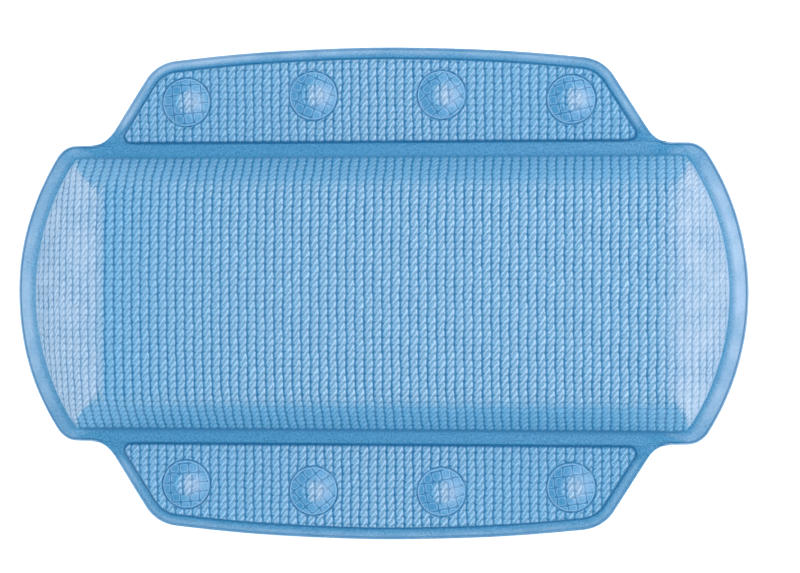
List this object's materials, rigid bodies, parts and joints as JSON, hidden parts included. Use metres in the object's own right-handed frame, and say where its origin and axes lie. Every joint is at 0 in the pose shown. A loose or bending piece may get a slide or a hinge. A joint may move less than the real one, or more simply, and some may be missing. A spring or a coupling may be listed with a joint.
{
  "type": "bath pillow",
  "caption": "Padded vinyl bath pillow with a knit-embossed face, bevelled ends and two folding welded flaps that hold rows of suction cups.",
  "frame": {"origin": "centre of the footprint, on the plane of the cup lips and the back of the pad", "axes": "+X along the pillow, +Y towards the top flap, +Z away from the wall"},
  "size_m": [0.32, 0.215, 0.0309],
  "materials": {
    "knit_vinyl": "satin",
    "plain_vinyl": "satin",
    "foam": "matte",
    "clear_vinyl": "gloss"
  },
  "bodies": {
    "pad": {"pad_front_cover": "knit_vinyl", "pad_back_cover": "plain_vinyl", "foam_core": "foam"},
    "top_flap": {"top_flap_front_sheet": "knit_vinyl", "top_flap_back_sheet": "plain_vinyl"},
    "bottom_flap": {"bottom_flap_front_sheet": "knit_vinyl", "bottom_flap_back_sheet": "plain_vinyl"},
    "top_cup_1": {"suction_cup_top_1": "clear_vinyl"},
    "top_cup_2": {"suction_cup_top_2": "clear_vinyl"},
    "top_cup_3": {"suction_cup_top_3": "clear_vinyl"},
    "top_cup_4": {"suction_cup_top_4": "clear_vinyl"},
    "bottom_cup_1": {"suction_cup_bottom_1": "clear_vinyl"},
    "bottom_cup_2": {"suction_cup_bottom_2": "clear_vinyl"},
    "bottom_cup_3": {"suction_cup_bottom_3": "clear_vinyl"},
    "bottom_cup_4": {"suction_cup_bottom_4": "clear_vinyl"}
  },
  "joints": [
    {"name": "top_flap_fold", "type": "hinge", "parent": "pad", "child": "top_flap", "pos_m": [0, 0.0663, 0.01095], "axis": [1, 0, 0], "range_deg": [-75, 90], "stiffness_Nm_per_rad": 0.15},
    {"name": "bottom_flap_fold", "type": "hinge", "parent": "pad", "child": "bottom_flap", "pos_m": [0, -0.0663, 0.01095], "axis": [-1, 0, 0], "range_deg": [-75, 90], "stiffness_Nm_per_rad": 0.15},
    {"name": "top_cup_1_press", "type": "slide", "parent": "top_flap", "child": "top_cup_1", "axis": [0, 0, 1], "range_m": [0, 0.0045], "stiffness_N_per_m": 2000, "deforming": ["suction_cup_top_1"]},
    {"name": "top_cup_2_press", "type": "slide", "parent": "top_flap", "child": "top_cup_2", "axis": [0, 0, 1], "range_m": [0, 0.0045], "stiffness_N_per_m": 2000, "deforming": ["suction_cup_top_2"]},
    {"name": "top_cup_3_press", "type": "slide", "parent": "top_flap", "child": "top_cup_3", "axis": [0, 0, 1], "range_m": [0, 0.0045], "stiffness_N_per_m": 2000, "deforming": ["suction_cup_top_3"]},
    {"name": "top_cup_4_press", "type": "slide", "parent": "top_flap", "child": "top_cup_4", "axis": [0, 0, 1], "range_m": [0, 0.0045], "stiffness_N_per_m": 2000, "deforming": ["suction_cup_top_4"]},
    {"name": "bottom_cup_1_press", "type": "slide", "parent": "bottom_flap", "child": "bottom_cup_1", "axis": [0, 0, 1], "range_m": [0, 0.0045], "stiffness_N_per_m": 2000, "deforming": ["suction_cup_bottom_1"]},
    {"name": "bottom_cup_2_press", "type": "slide", "parent": "bottom_flap", "child": "bottom_cup_2", "axis": [0, 0, 1], "range_m": [0, 0.0045], "stiffness_N_per_m": 2000, "deforming": ["suction_cup_bottom_2"]},
    {"name": "bottom_cup_3_press", "type": "slide", "parent": "bottom_flap", "child": "bottom_cup_3", "axis": [0, 0, 1], "range_m": [0, 0.0045], "stiffness_N_per_m": 2000, "deforming": ["suction_cup_bottom_3"]},
    {"name": "bottom_cup_4_press", "type": "slide", "parent": "bottom_flap", "child": "bottom_cup_4", "axis": [0, 0, 1], "range_m": [0, 0.0045], "stiffness_N_per_m": 2000, "deforming": ["suction_cup_bottom_4"]}
  ]
}
